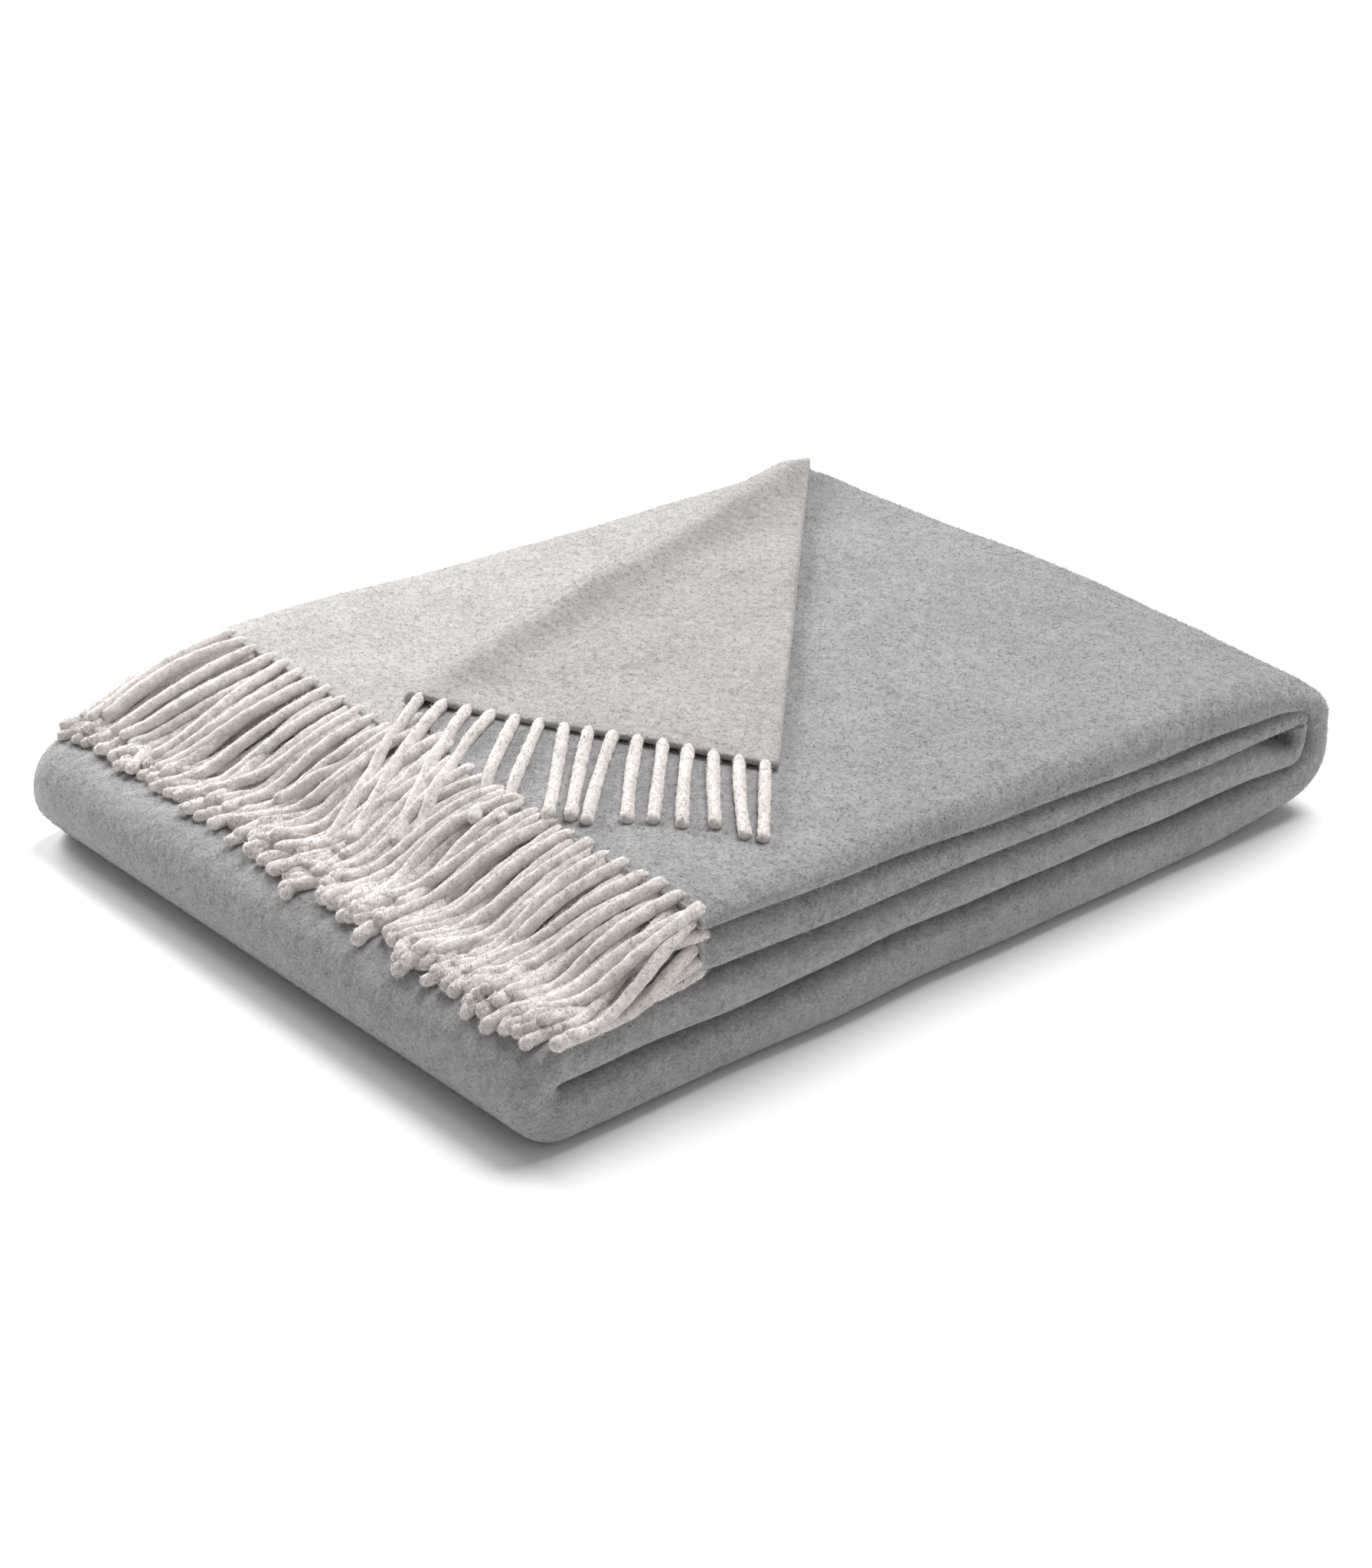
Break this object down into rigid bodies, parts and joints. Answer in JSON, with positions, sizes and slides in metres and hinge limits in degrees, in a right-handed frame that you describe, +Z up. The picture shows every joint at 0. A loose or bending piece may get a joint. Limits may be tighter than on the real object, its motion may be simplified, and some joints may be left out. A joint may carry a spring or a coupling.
{
  "type": "folded throw blanket",
  "caption": "Fringed two-faced throw blanket folded into a neat low block, with one top corner turned over to show its paler face.",
  "frame": {"origin": "on the floor under the middle of the folded blanket", "axes": "+X from the left fold, where the fringes hang, to the end folds; +Y from the rounded front folds to the selvedges; +Z up"},
  "size_m": [0.431, 0.325, 0.0746],
  "materials": {
    "grey_face": "matte",
    "cream_face": "matte",
    "fringe_yarn": "matte"
  },
  "bodies": {
    "lower_half": {"bottom_panel_ply_1": "grey_face", "bottom_panel_ply_2": "cream_face", "bottom_panel_ply_3": "grey_face", "bottom_panel_ply_4": "grey_face", "bottom_front_fold": "grey_face", "bottom_inner_front_fold": "cream_face", "bottom_back_fold": "grey_face", "lower_panel_ply_1": "grey_face", "lower_panel_ply_2": "cream_face", "lower_panel_ply_3": "grey_face", "lower_panel_ply_4": "grey_face", "lower_front_fold": "grey_face", "lower_inner_front_fold": "cream_face", "lower_back_fold": "grey_face", "left_fold": "grey_face", "outer_end_fold_low": "grey_face", "inner_end_fold_low": "grey_face"},
    "upper_half": {"upper_panel_ply_1": "grey_face", "upper_panel_ply_2": "cream_face", "upper_panel_ply_3": "grey_face", "upper_panel_ply_4": "grey_face", "upper_front_fold": "grey_face", "upper_inner_front_fold": "cream_face", "upper_back_fold": "grey_face", "top_panel_ply_1": "grey_face", "top_panel_ply_2": "cream_face", "top_panel_ply_3": "grey_face", "top_panel_ply_4": "grey_face", "top_front_fold": "grey_face", "top_inner_front_fold": "cream_face", "top_back_fold": "grey_face", "outer_end_fold_high": "grey_face", "inner_end_fold_high": "grey_face", "upper_fringe_ply_1": "fringe_yarn", "upper_fringe_ply_2": "fringe_yarn", "upper_fringe_ply_3": "fringe_yarn", "upper_fringe_ply_4": "fringe_yarn", "top_fringe_ply_1": "fringe_yarn", "top_fringe_ply_2": "fringe_yarn", "top_fringe_ply_3": "fringe_yarn", "top_fringe_ply_4": "fringe_yarn"},
    "corner_flap": {"corner_flap": "cream_face", "flap_fringe": "fringe_yarn"}
  },
  "joints": [
    {"name": "half_fold", "type": "hinge", "parent": "lower_half", "child": "upper_half", "pos_m": [0.2155, 0, 0.0373], "axis": [0, 1, 0], "range_deg": [0, 180]},
    {"name": "flap_fold", "type": "hinge", "parent": "upper_half", "child": "corner_flap", "pos_m": [-0.1295, 0.0375, 0.071], "axis": [-0.9501, -0.3119, 0], "range_deg": [0, 180]}
  ]
}
